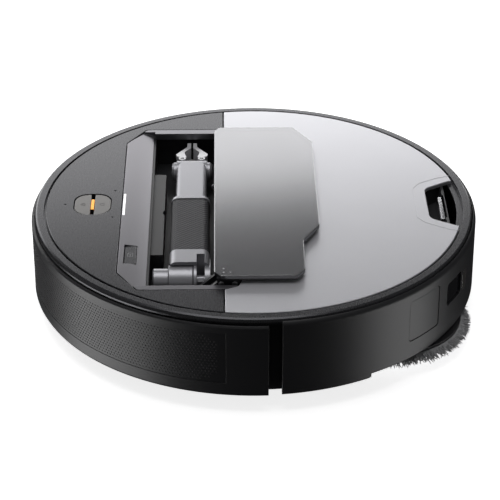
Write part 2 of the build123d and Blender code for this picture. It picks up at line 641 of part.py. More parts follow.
# ---- flap and its links -------------------------------------------------------------------
LINK_YS = {"front": ((102.0, 105.0), (115.0, 118.0)), "rear": ((106.0, 114.0),)}
LUG_YS = ((98.8, 101.7), (118.3, 121.2))
OPEN_DX = -LINK_L * cos(radians(LINK_OPEN))
OPEN_DZ = LINK_L * sin(radians(LINK_OPEN))
with BuildPart() as flap_hinge_mount:
    for y in LUG_YS:
        block((31, 55), y, (TRAY_FLOOR_Z + 1.5, LINK_Z - 2))
        block((LINK_REAR_X - 3.4, LINK_FRONT_X + 3.4), y, (LINK_Z - 2, LINK_Z + 3.4))
    block((31, 55), (LUG_YS[0][0], LUG_YS[1][1]), (TRAY_FLOOR_Z + 1.5, TRAY_FLOOR_Z + 3.5))
    for x in (LINK_REAR_X, LINK_FRONT_X):
        rod_y(x, LINK_Z, PIN_R, (LUG_YS[0][0], LUG_YS[1][1]))
flap_hinge_mount.part.label = "flap_hinge_mount"
export_step(flap_hinge_mount.part, "parts/flap_hinge_mount.step")

for name, base_x in (("front", LINK_FRONT_X), ("rear", LINK_REAR_X)):
    with BuildPart() as link:
        for y in LINK_YS[name]:
            with BuildSketch(Plane.XZ.offset(-y[0])) as bar:
                with Locations(Location((base_x + OPEN_DX / 2, LINK_Z + OPEN_DZ / 2), 180 - LINK_OPEN)):
                    Rectangle(LINK_L, LINK_T)
                with Locations((base_x, LINK_Z), (base_x + OPEN_DX, LINK_Z + OPEN_DZ)):
                    Circle(LINK_BOSS_R)
                    Circle(PIN_R + RUN, mode=Mode.SUBTRACT)
            extrude(bar.sketch, amount=-(y[1] - y[0]))
    link.part.label = f"flap_links_{name}"
    export_step(link.part, f"parts/flap_links_{name}.step")

FLAP_OPEN = [(x - FLAP_SHIFT, y) for x, y in FLAP_SHUT]
with BuildPart() as flap_glass:
    with BuildSketch(Plane.XY.offset(FLAP_TOP - FLAP_T)) as pane:
        Polygon(*FLAP_OPEN, align=None)
        fillet(pane.vertices(), 3.5)
    extrude(amount=FLAP_T)
    chamfer(flap_glass.faces().sort_by(Axis.Z)[-1].edges(), 0.5)
flap_glass.part.label = "flap_glass"
export_step(flap_glass.part, "parts/flap_glass.step")

with BuildPart() as flap_bracket:
    top = FLAP_TOP - FLAP_T
    for y in LUG_YS:
        block((FLAP_OPEN_X - 13.2, FLAP_OPEN_X + 3.2), y, (FLAP_OPEN_Z - 1.0, top))
        rod_y(FLAP_OPEN_X, FLAP_OPEN_Z, 3.2, y)
        rod_y(FLAP_OPEN_X - (LINK_FRONT_X - LINK_REAR_X), FLAP_OPEN_Z, 3.2, y)
    for dx in (0, LINK_REAR_X - LINK_FRONT_X):
        rod_y(FLAP_OPEN_X + dx, FLAP_OPEN_Z, PIN_R, (LUG_YS[0][0], LUG_YS[1][1]))
flap_bracket.part.label = "flap_bracket"
export_step(flap_bracket.part, "parts/flap_bracket.step")

# ---- arm ------------------------------------------------------------------------------------
with BuildPart() as shoulder_motor:
    rod_x(SHOULDER_Y, SHOULDER_Z, DRUM_R, DRUM_X)
    rod_x(SHOULDER_Y, SHOULDER_Z, STUB_R, (DRUM_X[1], STUB_END_X))
    rims = shoulder_motor.edges().filter_by(GeomType.CIRCLE).sort_by(Axis.X)
    chamfer(rims.filter_by(lambda rim: rim.radius > STUB_R + 1) + rims[-1:], 0.8)
    rod_x(SHOULDER_Y, SHOULDER_Z, AXLE_R, (YOKE_X[0] - 1.2, DRUM_X[0] + 1))
    # torque stop in the yoke's slot
    stop_x = (SLOT_X[0] + 0.6, SLOT_X[1] - 0.6)
    block(stop_x, (SHOULDER_Y - 2, SHOULDER_Y + 7), (SHOULDER_Z - 6, SHOULDER_Z + 3.5))
shoulder_motor.part.label = "shoulder_motor"
export_step(shoulder_motor.part, "parts/shoulder_motor.step")

CORE_INSET = 1.6                         # how far the core lies under the grip sleeve
with BuildPart() as forearm_core:
    # the bar inside the grip sleeve
    with BuildSketch(Plane.XZ.offset(-SLEEVE_FAR_Y)):
        with Locations((ARM_X, ARM_Z)):
            RectangleRounded(SLEEVE_W - 2 * CORE_INSET, SLEEVE_H - 2 * CORE_INSET, 4.4)
    extrude(amount=-(SLEEVE_NEAR_Y - SLEEVE_FAR_Y))
    # collars at both ends of the sleeve
    for y0, y1 in ((SLEEVE_FAR_Y, SLEEVE_FAR_Y + 3.4), (SLEEVE_NEAR_Y, COLLAR_NEAR_Y)):
        with BuildSketch(Plane.XZ.offset(-y0)):
            with Locations((ARM_X, ARM_Z)):
                RectangleRounded(SLEEVE_W, SLEEVE_H, 6)
        extrude(amount=-(y1 - y0))
    # yoke cheeks round the shoulder axle
    for limits in ((DRUM_X[0] - 0.3, ARM_X + 30), SLOT_X):
        rod_x(SHOULDER_Y, SHOULDER_Z, DRUM_R + 1.3, limits, Mode.SUBTRACT)
    block(SLOT_X, (SHOULDER_Y - DRUM_R - 1.3, SHOULDER_Y + 20), (40, 90), Mode.SUBTRACT)
    for x0, x1 in ((YOKE_X[0], SLOT_X[0]), (SLOT_X[1], YOKE_X[1])):
        rod_x(SHOULDER_Y, SHOULDER_Z, DRUM_R, (x0, x1))
        block((x0, x1), (SHOULDER_Y - 13.5, SHOULDER_Y - 1), (SHOULDER_Z - 4, SHOULDER_Z + 11))
    rod_x(SHOULDER_Y, SHOULDER_Z, AXLE_R + RUN, (YOKE_X[0] - 1, YOKE_X[1] + 1), Mode.SUBTRACT)
forearm_core.part.label = "forearm_core"
export_step(forearm_core.part, "parts/forearm_core.step")

with BuildPart() as grip_sleeve:
    with BuildSketch(Plane.XZ.offset(-(SLEEVE_FAR_Y + 3.4))):
        with Locations((ARM_X, ARM_Z)):
            RectangleRounded(SLEEVE_W - 0.6, SLEEVE_H - 0.6, 5.7)
            RectangleRounded(SLEEVE_W - 2 * CORE_INSET, SLEEVE_H - 2 * CORE_INSET, 4.4, mode=Mode.SUBTRACT)
    extrude(amount=-(SLEEVE_NEAR_Y - SLEEVE_FAR_Y - 3.4))
grip_sleeve.part.label = "grip_sleeve"
export_step(grip_sleeve.part, "parts/grip_sleeve.step")

with BuildPart() as wrist_block:
    with BuildSketch(Plane.XZ.offset(-WRIST_FAR_Y)):
        with Locations((GRIP_X, KNUCKLE_Z)):
            RectangleRounded(WRIST_W, WRIST_H, 4)
    extrude(amount=-(SLEEVE_FAR_Y - WRIST_FAR_Y))
    rod_x(WRIST_FAR_Y, KNUCKLE_Z, WRIST_H / 2, (GRIP_X - WRIST_W / 2, GRIP_X + WRIST_W / 2))
    # round ears on both sides of the knuckle
    rod_x(WRIST_FAR_Y - 1, KNUCKLE_Z, EAR_R, EAR_X)
    for end in (0, -1):
        chamfer(wrist_block.edges().filter_by(GeomType.CIRCLE).sort_by(Axis.X)[end], 1.6)
    # bearing for the gripper
    rod_y(GRIP_X, KNUCKLE_Z, GRIP_SHAFT_R + RUN, (WRIST_FAR_Y - 20, WRIST_FAR_Y + 6), Mode.SUBTRACT)
wrist_block.part.label = "wrist_block"
export_step(wrist_block.part, "parts/wrist_block.step")

with BuildPart() as gripper_palm:
    rod_y(GRIP_X, KNUCKLE_Z, GRIP_SHAFT_R, (PALM_Y, WRIST_FAR_Y + 5.5))
    with BuildSketch(Plane.XZ.offset(-BAR_FRONT_Y)):
        with Locations((GRIP_X, KNUCKLE_Z)):
            RectangleRounded(21.5, 4.6, 1.5)
    extrude(amount=-4.4)
    for x in (-JAW_PIN_X, JAW_PIN_X):
        rod_z(GRIP_X + x, JAW_PIN_Y, JAW_PIN_R, (KNUCKLE_Z - JAW_H / 2, KNUCKLE_Z + JAW_H / 2))
gripper_palm.part.label = "gripper_palm"
export_step(gripper_palm.part, "parts/gripper_palm.step")

# one jaw as seen from above: pivot lug, outward base, dog-leg and tip
JAW_SHAPE = [
    (4.4, -94.6), (12.3, -95.2), (13.2, -99.5), (4.2, -112.5), (3.9, JAW_TIP_Y),
    (0.9, JAW_TIP_Y), (0.9, -111.0), (6.3, -103.5), (5.6, -98.5),
]
for name, sign in (("jaw_left", 1), ("jaw_right", -1)):
    with BuildPart() as jaw:
        with BuildSketch(Plane.XY.offset(KNUCKLE_Z - JAW_H / 2)) as dog_leg:
            Polygon(*[(GRIP_X + sign * x, y) for x, y in JAW_SHAPE], align=None)
            fillet(dog_leg.vertices().group_by(Axis.Y)[1:-1], 1.2)
            with Locations((GRIP_X + sign * JAW_PIN_X, JAW_PIN_Y)):
                Circle(3.0)
        extrude(amount=JAW_H)
        # the lug is a fork round the palm's crossbar
        pin_x = GRIP_X + sign * JAW_PIN_X
        rod_z(pin_x, JAW_PIN_Y, JAW_PIN_R + RUN, (KNUCKLE_Z - 8, KNUCKLE_Z + 8), Mode.SUBTRACT)
        fork_z = (KNUCKLE_Z - 2.7, KNUCKLE_Z + 2.7)
        block((GRIP_X - 20, GRIP_X + 20), (BAR_FRONT_Y - 1.3, PALM_Y + 4), fork_z, Mode.SUBTRACT)
    jaw.part.label = name
    export_step(jaw.part, f"parts/{name}.step")

# ---- drive wheels ----------------------------------------------------------------------------
for side, sign in SIDES:
    with BuildPart() as wheel_arm:
        arm_z = (ARM_PIVOT_Z - 12, ARM_PIVOT_Z + 5.4)
        block((WHEEL_X - 16, ARM_PIVOT_X + 5.4), span(sign, 96.0, 107.0), arm_z)
        rod_y(WHEEL_X, WHEEL_R, 16, span(sign, 96.0, 109.0))
        rod_y(WHEEL_X, WHEEL_R, 5, span(sign, 109.0, 129.0))
        rod_y(ARM_PIVOT_X, ARM_PIVOT_Z, PIVOT_R + RUN, span(sign, 90, 110), Mode.SUBTRACT)
    wheel_arm.part.label = f"wheel_arm_{side}"
    export_step(wheel_arm.part, f"parts/wheel_arm_{side}.step")
    y0 = WHEEL_Y - WHEEL_W / 2
    with BuildPart() as hub:
        rod_y(WHEEL_X, WHEEL_R, WHEEL_R - 6, span(sign, y0 + 1, y0 + WHEEL_W - 1))
        rod_y(WHEEL_X, WHEEL_R, WHEEL_R - 9, span(sign, y0 + WHEEL_W - 4, y0 + WHEEL_W), Mode.SUBTRACT)
        rod_y(WHEEL_X, WHEEL_R, 8, span(sign, y0 + WHEEL_W - 5, y0 + WHEEL_W - 1))
        rod_y(WHEEL_X, WHEEL_R, 5 + RUN, span(sign, y0, y0 + WHEEL_W), Mode.SUBTRACT)
    hub.part.label = f"wheel_hub_{side}"
    export_step(hub.part, f"parts/wheel_hub_{side}.step")
    with BuildPart() as tyre:
        rod_y(WHEEL_X, WHEEL_R, WHEEL_R, span(sign, y0, y0 + WHEEL_W))
        chamfer(tyre.edges().filter_by(GeomType.CIRCLE), 1.5)
        rod_y(WHEEL_X, WHEEL_R, WHEEL_R - 6, span(sign, y0 - 1, y0 + WHEEL_W + 1), Mode.SUBTRACT)
    tyre.part.label = f"wheel_tyre_{side}"
    export_step(tyre.part, f"parts/wheel_tyre_{side}.step")

# ---- main brush rollers -------------------------------------------------------------------
for name, x, turn in (("roller_rear", ROLLER_X[0], 0), ("roller_front", ROLLER_X[1], 22.5)):
    with BuildPart() as roller:
        rod_y(x, ROLLER_Z, ROLLER_R - 4, (-ROLLER_HALF, ROLLER_HALF))
        with BuildSketch(Plane.XZ.offset(-ROLLER_HALF)) as fins:
            with Locations((x, ROLLER_Z)):
                with PolarLocations(ROLLER_R - 2.7, 8, turn):
                    Rectangle(5.0, 2.0)
        extrude(fins.sketch, amount=2 * ROLLER_HALF)
        rod_y(x, ROLLER_Z, 3, (-CHAMBER_Y + 0.3, CHAMBER_Y - 0.3))
    roller.part.label = name
    export_step(roller.part, f"parts/{name}.step")

# ---- caster ---------------------------------------------------------------------------------
AXLE_X = CASTER_X - CASTER_TRAIL         # the wheel trails behind the swivel
with BuildPart() as caster_fork:
    rod_z(CASTER_X, 0, 17, (CHASSIS_Z - 0.5, 27.5))
    rod_z(CASTER_X, 0, 3, (27.5, 38))
    block((AXLE_X - CASTER_R - 1, AXLE_X + CASTER_R + 1), (-7.2, 7.2), (0, 22.5), Mode.SUBTRACT)
    for y in (-9.4, 7.2):
        block((AXLE_X - 3.5, AXLE_X + 3.5), (y, y + 2.2), (CASTER_R, 20))
        rod_y(AXLE_X, CASTER_R, 3.5, (y, y + 2.2))
    rod_y(AXLE_X, CASTER_R, PIN_R, (-9.4, 9.4))
caster_fork.part.label = "caster_fork"
export_step(caster_fork.part, "parts/caster_fork.step")

with BuildPart() as caster_wheel:
    rod_y(AXLE_X, CASTER_R, CASTER_R, (-6.6, 6.6))
    fillet(caster_wheel.edges().filter_by(GeomType.CIRCLE), 1.5)
    rod_y(AXLE_X, CASTER_R, PIN_R + RUN, (-7, 7), Mode.SUBTRACT)
caster_wheel.part.label = "caster_wheel"
export_step(caster_wheel.part, "parts/caster_wheel.step")

# ---- side brush ------------------------------------------------------------------------------
with BuildPart() as side_brush_hub:
    rod_z(BRUSH_X, BRUSH_Y, 3, (10, 33))
    rod_z(BRUSH_X, BRUSH_Y, 13, (9.5, CHASSIS_Z - 1))
    with BuildSketch(Plane.XY.offset(7)):
        with Locations((BRUSH_X, BRUSH_Y)):
            Circle(8)
            with PolarLocations(9, 3, 75):
                Rectangle(18, 6)
    extrude(amount=4)
side_brush_hub.part.label = "side_brush_hub"
export_step(side_brush_hub.part, "parts/side_brush_hub.step")

with BuildPart() as side_brush_bristles:
    with BuildSketch(Plane.XY.offset(3)):
        with Locations((BRUSH_X, BRUSH_Y)):
            with PolarLocations((18 + BRUSH_L) / 2, 3, 75):
                Trapezoid(BRUSH_L - 18, 8, 80)
    extrude(amount=6)
side_brush_bristles.part.label = "side_brush_bristles"
export_step(side_brush_bristles.part, "parts/side_brush_bristles.step")

# ---- mops --------------------------------------------------------------------------------
for side, sign in SIDES:
    with BuildPart() as mop_motor:
        rod_z(MOP_X, sign * MOP_Y, 16, (26, 44))
        rod_z(MOP_X, sign * MOP_Y, 19, (23, 30))
        rod_z(MOP_X, sign * MOP_Y, 5, (MOP_Z + PAD_T + 0.2, 24))
    mop_motor.part.label = f"mop_motor_{side}"
    export_step(mop_motor.part, f"parts/mop_motor_{side}.step")
    with BuildPart() as mop_plate:
        rod_z(MOP_X, sign * MOP_Y, MOP_R - 4, (MOP_Z + PAD_T, MOP_Z + PAD_T + 2.5))
        rod_z(MOP_X, sign * MOP_Y, 9, (MOP_Z + PAD_T, 22.5))
        rod_z(MOP_X, sign * MOP_Y, 5 + RUN, (MOP_Z, 23), Mode.SUBTRACT)
    mop_plate.part.label = f"mop_plate_{side}"
    export_step(mop_plate.part, f"parts/mop_plate_{side}.step")
    with BuildPart() as mop_pad:
        rod_z(MOP_X, sign * MOP_Y, MOP_R, (MOP_Z, MOP_Z + PAD_T))
        fillet(mop_pad.edges(), 1.5)
    mop_pad.part.label = f"mop_pad_{side}"
    export_step(mop_pad.part, f"parts/mop_pad_{side}.step")
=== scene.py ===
import json
import random
from math import ceil, cos, pi, radians, sin, tau

import bmesh
import bpy
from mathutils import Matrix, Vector, noise


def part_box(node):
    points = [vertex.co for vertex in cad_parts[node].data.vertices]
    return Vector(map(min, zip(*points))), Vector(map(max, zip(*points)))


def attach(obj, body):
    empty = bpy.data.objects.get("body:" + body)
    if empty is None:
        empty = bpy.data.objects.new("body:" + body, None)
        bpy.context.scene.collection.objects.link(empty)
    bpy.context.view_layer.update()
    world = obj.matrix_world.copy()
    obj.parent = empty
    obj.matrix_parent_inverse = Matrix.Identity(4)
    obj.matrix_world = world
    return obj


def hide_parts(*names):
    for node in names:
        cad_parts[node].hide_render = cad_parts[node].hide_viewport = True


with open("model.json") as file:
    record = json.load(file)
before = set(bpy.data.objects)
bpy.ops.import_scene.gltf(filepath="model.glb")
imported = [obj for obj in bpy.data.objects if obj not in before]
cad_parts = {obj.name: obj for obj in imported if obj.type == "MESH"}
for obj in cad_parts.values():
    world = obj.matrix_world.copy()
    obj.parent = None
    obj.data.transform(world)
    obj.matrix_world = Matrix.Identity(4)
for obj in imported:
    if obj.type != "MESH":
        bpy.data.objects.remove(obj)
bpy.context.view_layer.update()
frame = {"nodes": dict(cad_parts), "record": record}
nodes = frame["nodes"]

MM = 0.001
rng = random.Random(11)


def low_high(node):
    """Lowest and highest corner of a CAD node, in millimetres."""
    low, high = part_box(node)
    return low / MM, high / MM


def middle(node):
    low, high = low_high(node)
    return (low + high) / 2


DECK_TOP = low_high("rear_cover")[1].z
BODY_R = low_high("bumper")[1].x


# ---- shapes -------------------------------------------------------------------------
class Shape:
    """Points and faces of one piece, in millimetres in the frame, until it is made."""

    def __init__(self):
        self.points = []
        self.faces = []

    def grid(self, rows, wrap=False, loop=False):
        """Joins rows of points by quads. wrap closes each row, loop joins the last row to the first."""
        base = len(self.points)
        width = len(rows[0])
        for row in rows:
            self.points.extend(row)
        for r in range(len(rows) if loop else len(rows) - 1):
            below = base + r * width
            above = base + (r + 1) % len(rows) * width
            for c in range(width if wrap else width - 1):
                d = (c + 1) % width
                self.faces.append((below + c, below + d, above + d, above + c))
        return base

    def cap(self, start, count, flip=False):
        """Closes a round row of points by one face."""
        ring = list(range(start, start + count))
        self.faces.append(tuple(reversed(ring)) if flip else tuple(ring))

    def tube(self, path, radii, sides=6, closed=False):
        """A round bar along a path, with a radius for each of its points."""
        rows = []
        for i, point in enumerate(path):
            before = path[i - 1] if i or closed else path[i]
            after = path[(i + 1) % len(path)] if i + 1 < len(path) or closed else path[i]
            along = (Vector(after) - Vector(before)).normalized()
            across = along.cross(Vector((0, 0, 1)))
            if across.length < 0.05:
                across = along.cross(Vector((1, 0, 0)))
            across.normalize()
            up = across.cross(along)
            radius = radii[i] if isinstance(radii, (list, tuple)) else radii
            row = []
            for k in range(sides):
                turn = tau * k / sides
                row.append(Vector(point) + (across * cos(turn) + up * sin(turn)) * radius)
            rows.append(row)
        base = self.grid(rows, wrap=True, loop=closed)
        if not closed:
            self.cap(base, sides, flip=True)
            self.cap(base + (len(rows) - 1) * sides, sides)

    def ribbon(self, outline, half, z0, z1, closed=True):
        """A flat band of even width along an outline seen from above."""
        rows = []
        count = len(outline)
        for i in range(count):
            before = Vector(outline[i - 1] if i or closed else outline[i])
            after = Vector(outline[(i + 1) % count] if i + 1 < count or closed else outline[i])
            here = Vector(outline[i])
            first = (here - before).normalized() if (here - before).length else (after - here).normalized()
            second = (after - here).normalized() if (after - here).length else first
            side = Vector((-(first + second).y, (first + second).x)).normalized()
            reach = half / max(0.35, side.dot(Vector((-first.y, first.x))))
            left = here + side * reach
            right = here - side * reach
            rows.append([
                Vector((left.x, left.y, z0)), Vector((right.x, right.y, z0)),
                Vector((right.x, right.y, z1)), Vector((left.x, left.y, z1)),
            ])
        base = self.grid(rows, wrap=True, loop=closed)
        if not closed:
            self.cap(base, 4, flip=True)
            self.cap(base + (count - 1) * 4, 4)

    def turned(self, centre, axis, profile, sides=24):
        """A turned shape: profile is a list of (distance along axis, radius), closed at both ends."""
        axis = Vector(axis).normalized()
        across = axis.orthogonal().normalized()
        up = axis.cross(across)
        rows = []
        for along, radius in profile:
            ring = []
            for k in range(sides):
                turn = tau * k / sides
                ring.append(Vector(centre) + axis * along + (across * cos(turn) + up * sin(turn)) * radius)
            rows.append(ring)
        base = self.grid(rows, wrap=True)
        self.cap(base, sides, flip=True)
        self.cap(base + (len(rows) - 1) * sides, sides)

    def make(self, name, body, material, smooth=40, stands_for=()):
        """Makes the piece, which then moves with a CAD body."""
        mesh = bpy.data.meshes.new(name)
        mesh.from_pydata([tuple(Vector(p) * MM) for p in self.points], [], self.faces)
        work = bmesh.new()
        work.from_mesh(mesh)
        bmesh.ops.remove_doubles(work, verts=work.verts, dist=1e-7)
        bmesh.ops.recalc_face_normals(work, faces=work.faces)
        work.to_mesh(mesh)
        work.free()
        obj = bpy.data.objects.new(name, mesh)
        bpy.context.scene.collection.objects.link(obj)
        obj.data.materials.append(material)
        soften(obj, smooth)
        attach(obj, body)
        if stands_for:
            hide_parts(*stands_for)
        return obj


def soften(obj, degrees):
    """Shades smooth, apart from edges sharper than an angle."""
    limit = cos(radians(degrees))
    work = bmesh.new()
    work.from_mesh(obj.data)
    for face in work.faces:
        face.smooth = True
    for edge in work.edges:
        if len(edge.link_faces) == 2:
            first, second = edge.link_faces
            edge.smooth = first.normal.dot(second.normal) > limit
    work.to_mesh(obj.data)
    work.free()


def arc_points(cx, cy, radius, start, end, steps):
    """Points of an arc seen from above, angles in degrees."""
    angles = [radians(start + (end - start) * i / steps) for i in range(steps + 1)]
    return [(cx + radius * cos(a), cy + radius * sin(a)) for a in angles]


def rounded_corners(points, radius, steps=5):
    """A closed outline whose corners are rounded."""
    result = []
    for i, corner in enumerate(points):
        here = Vector(corner)
        to_last = (Vector(points[i - 1]) - here).normalized()
        to_next = (Vector(points[(i + 1) % len(points)]) - here).normalized()
        for k in range(steps + 1):
            t = k / steps
            start = here + to_last * radius
            end = here + to_next * radius
            result.append(tuple(start * (1 - t) ** 2 + here * 2 * t * (1 - t) + end * t ** 2))
    return result


# ---- materials ----------------------------------------------------------------------
def link(tree, source, target):
    tree.links.new(source, target)


BROAD_GRAIN = 26            # scale of the slow drift of colour over a piece
FLAT, FULL_EDGE = 1.0, 0.8  # how far the rounded normal agrees with the true one


def surface(name, colour, rough, metal=0.0, grain=1400, relief=0.01, tint=0.08, spread=0.05,
            stretch=(1, 1, 1), edge=0.25, edge_width=0.35, **extra):
    """A procedural finish: broad and fine colour variation, grain, roughness and a painted highlight that
    lightens the edges.
    """
    material = bpy.data.materials.new(name)
    material.use_nodes = True
    tree = material.node_tree
    shader = tree.nodes["Principled BSDF"]
    shader.inputs["Metallic"].default_value = metal
    for socket, value in extra.items():
        shader.inputs[socket.replace("_", " ").title()].default_value = value

    place = tree.nodes.new("ShaderNodeTexCoord")
    mapping = tree.nodes.new("ShaderNodeMapping")
    mapping.inputs["Scale"].default_value = stretch
    link(tree, place.outputs["Object"], mapping.inputs["Vector"])

    fine = tree.nodes.new("ShaderNodeTexNoise")
    fine.inputs["Scale"].default_value = grain
    fine.inputs["Detail"].default_value = 3
    broad = tree.nodes.new("ShaderNodeTexNoise")
    broad.inputs["Scale"].default_value = BROAD_GRAIN
    broad.inputs["Detail"].default_value = 2
    link(tree, mapping.outputs["Vector"], fine.inputs["Vector"])
    link(tree, place.outputs["Object"], broad.inputs["Vector"])

    shade = tree.nodes.new("ShaderNodeMixRGB")
    shade.inputs["Color1"].default_value = [c * (1 - tint) for c in colour] + [1]
    shade.inputs["Color2"].default_value = [min(1, c * (1 + tint)) for c in colour] + [1]
    both = tree.nodes.new("ShaderNodeMath")
    both.operation = "MULTIPLY_ADD"
    both.inputs[1].default_value = 0.5
    half = tree.nodes.new("ShaderNodeMath")
    half.operation = "MULTIPLY"
    half.inputs[1].default_value = 0.5
    link(tree, broad.outputs["Fac"], half.inputs[0])
    link(tree, fine.outputs["Fac"], both.inputs[0])
    link(tree, half.outputs["Value"], both.inputs[2])
    link(tree, both.outputs["Value"], shade.inputs["Fac"])

    # edges: where the rounded normal leaves the true one, the base colour is lightened there as a painted
    # highlight
    bevel = tree.nodes.new("ShaderNodeBevel")
    bevel.samples = 4
    bevel.inputs["Radius"].default_value = edge_width * MM
    geometry = tree.nodes.new("ShaderNodeNewGeometry")
    agree = tree.nodes.new("ShaderNodeVectorMath")
    agree.operation = "DOT_PRODUCT"
    link(tree, bevel.outputs["Normal"], agree.inputs[0])
    link(tree, geometry.outputs["Normal"], agree.inputs[1])
    # mask of the painted edge highlight, up to the strength given by edge
    edge_highlight_mask = tree.nodes.new("ShaderNodeMapRange")
    edge_highlight_mask.inputs["From Min"].default_value = FLAT
    edge_highlight_mask.inputs["From Max"].default_value = FULL_EDGE
    edge_highlight_mask.inputs["To Min"].default_value = 0.0
    edge_highlight_mask.inputs["To Max"].default_value = edge
    link(tree, agree.outputs["Value"], edge_highlight_mask.inputs["Value"])
    # painted highlight: a lighter copy of the colour laid on the edges
    painted_edge_highlight = tree.nodes.new("ShaderNodeMixRGB")
    painted_edge_highlight.inputs["Color2"].default_value = [min(1, c * 1.8 + 0.05) for c in colour] + [1]
    link(tree, edge_highlight_mask.outputs["Result"], painted_edge_highlight.inputs["Fac"])
    link(tree, shade.outputs["Color"], painted_edge_highlight.inputs["Color1"])
    link(tree, painted_edge_highlight.outputs["Color"], shader.inputs["Base Color"])

    gloss = tree.nodes.new("ShaderNodeMapRange")
    gloss.inputs["To Min"].default_value = max(0.02, rough - spread)
    gloss.inputs["To Max"].default_value = min(1, rough + spread)
    link(tree, fine.outputs["Fac"], gloss.inputs["Value"])
    link(tree, gloss.outputs["Result"], shader.inputs["Roughness"])

    bump = tree.nodes.new("ShaderNodeBump")
    bump.inputs["Distance"].default_value = relief * MM
    link(tree, fine.outputs["Fac"], bump.inputs["Height"])
    link(tree, bevel.outputs["Normal"], bump.inputs["Normal"])
    link(tree, bump.outputs["Normal"], shader.inputs["Normal"])
    return material


# edge sets how strongly each finish's edges are painted lighter as a highlight
looks = {
    "dark_shell": surface("dark_shell", (0.020, 0.020, 0.022), 0.42, grain=2600, relief=0.012,
                          tint=0.2, edge=0.5),
    "deck_dark": surface("deck_dark", (0.072, 0.072, 0.077), 0.28, 0.8, grain=3000, relief=0.004,
                         tint=0.06, stretch=(1, 0.08, 1), edge=0.5),
    "deck_silver": surface("deck_silver", (0.66, 0.66, 0.69), 0.36, 0.6, grain=3000, relief=0.004,
                           tint=0.04, stretch=(1, 0.08, 1), edge=0.3),
    "bezel_metal": surface("bezel_metal", (0.21, 0.205, 0.22), 0.31, 0.85, grain=2400, relief=0.003,
                           tint=0.04, spread=0.015, edge=0.6),
    "gloss_black": surface("gloss_black", (0.012, 0.012, 0.014), 0.16, grain=1200, relief=0.002,
                           tint=0.2, spread=0.04, coat_weight=0.5),
    "arm_silver": surface("arm_silver", (0.41, 0.41, 0.435), 0.36, 0.55, grain=2600, relief=0.006,
                          tint=0.05, stretch=(0.1, 1, 1), edge=0.6),
    "jaw_silver": surface("jaw_silver", (0.78, 0.78, 0.80), 0.34, 0.4, grain=2600, relief=0.006,
                          tint=0.05, edge=0.8),
    "sleeve_rubber": surface("sleeve_rubber", (0.085, 0.085, 0.09), 0.46, 0.3, grain=1800, relief=0.03,
                             tint=0.25, edge=0.0),
    "smoked_glass": surface("smoked_glass", (0.33, 0.33, 0.34), 0.18, 0.9, grain=2600, relief=0.002,
                            tint=0.04, spread=0.03, edge=0.9, alpha=0.88),
    "light_white": surface("light_white", (0.9, 0.9, 0.92), 0.3, grain=1800, relief=0.004,
                           emission_color=(1, 1, 1, 1), emission_strength=0.9),
    "button_metal": surface("button_metal", (0.17, 0.165, 0.16), 0.32, 0.8, grain=2800, relief=0.004,
                            tint=0.06, stretch=(1, 0.06, 1), edge=0.9),
    "chrome": surface("chrome", (0.85, 0.85, 0.87), 0.1, 1.0, grain=1500, relief=0.002, tint=0.04),
    "contact_metal": surface("contact_metal", (0.62, 0.60, 0.57), 0.25, 1.0, grain=2200, relief=0.006,
                             stretch=(1, 1, 0.1)),
    "screw_steel": surface("screw_steel", (0.45, 0.45, 0.46), 0.3, 1.0, grain=2600, relief=0.01),
    "battery_wrap": surface("battery_wrap", (0.02, 0.09, 0.22), 0.4, grain=900, relief=0.02, tint=0.12),
    "board_green": surface("board_green", (0.015, 0.13, 0.055), 0.42, grain=1600, relief=0.02, tint=0.3),
    "clear_plastic": surface("clear_plastic", (0.35, 0.37, 0.40), 0.18, grain=1300, relief=0.004,
                             alpha=0.45, edge=0.7),
    "filter_paper": surface("filter_paper", (0.72, 0.71, 0.66), 0.9, grain=1100, relief=0.12, tint=0.12),
    "tyre_rubber": surface("tyre_rubber", (0.028, 0.028, 0.029), 0.72, grain=1500, relief=0.05, tint=0.3),
    "hub_plastic": surface("hub_plastic", (0.13, 0.13, 0.14), 0.45, grain=1900, relief=0.015, tint=0.1),
    "roller_rubber": surface("roller_rubber", (0.035, 0.045, 0.055), 0.6, grain=1500, relief=0.03, tint=0.2),
    "bristle": surface("bristle", (0.06, 0.06, 0.065), 0.5, grain=2600, relief=0.01, tint=0.3),
    "mop_fabric": surface("mop_fabric", (0.5, 0.5, 0.51), 0.95, grain=950, relief=0.35, tint=0.45,
                          sheen_weight=0.4, edge=0.0),
}
window_black = surface("window_black", (0.012, 0.012, 0.014), 0.42, grain=1200, relief=0.002, tint=0.2)
amber = surface("amber_light", (0.95, 0.42, 0.06), 0.4, grain=1600, relief=0.01, tint=0.1,
                emission_color=(1.0, 0.42, 0.06, 1), emission_strength=0.8)
mark = surface("printed_mark", (0.62, 0.62, 0.64), 0.5, grain=2400, relief=0.004, tint=0.06)
dark_mark = surface("dark_mark", (0.05, 0.05, 0.055), 0.5, grain=2400, relief=0.004, tint=0.1)
soft_black = surface("soft_black", (0.012, 0.012, 0.013), 0.62, grain=1700, relief=0.02,
                     tint=0.3, edge=0.0)

slot_of = {}
for entry in frame["record"]["subparts"]:
    slot_of[entry["node"]] = entry["material_slot"]
for name, obj in nodes.items():
    obj.data.materials.clear()
    obj.data.materials.append(looks[slot_of[name]])
    soften(obj, 28)
nodes["bumper_window"].data.materials[0] = window_black


